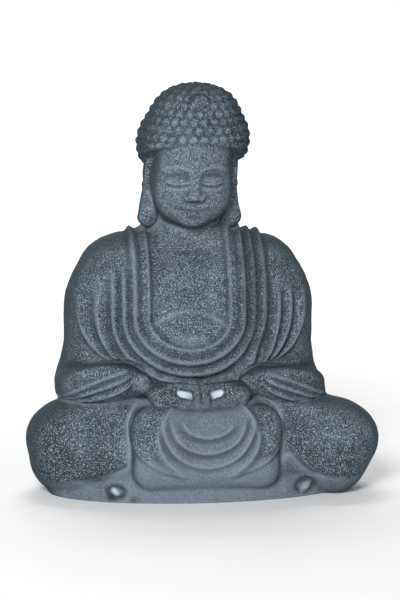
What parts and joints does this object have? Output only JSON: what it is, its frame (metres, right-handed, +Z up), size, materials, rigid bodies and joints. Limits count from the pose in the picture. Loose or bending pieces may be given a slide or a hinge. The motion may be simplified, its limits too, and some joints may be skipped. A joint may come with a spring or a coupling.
{
  "type": "seated buddha statue",
  "caption": "Cast stone figure seated cross-legged in meditation, draped robe, hands folded in the lap, flat underside.",
  "frame": {"origin": "middle of the flat underside, under the middle of the bounding box", "axes": "+Z up, -Y the way the figure faces, +X towards the figure's left knee"},
  "size_m": [0.26, 0.165, 0.3],
  "materials": {
    "stone": "matt, fine sandy speckle, lighter dust low on the front"
  },
  "bodies": {
    "root": {"seated_buddha": "stone"}
  },
  "joints": []
}
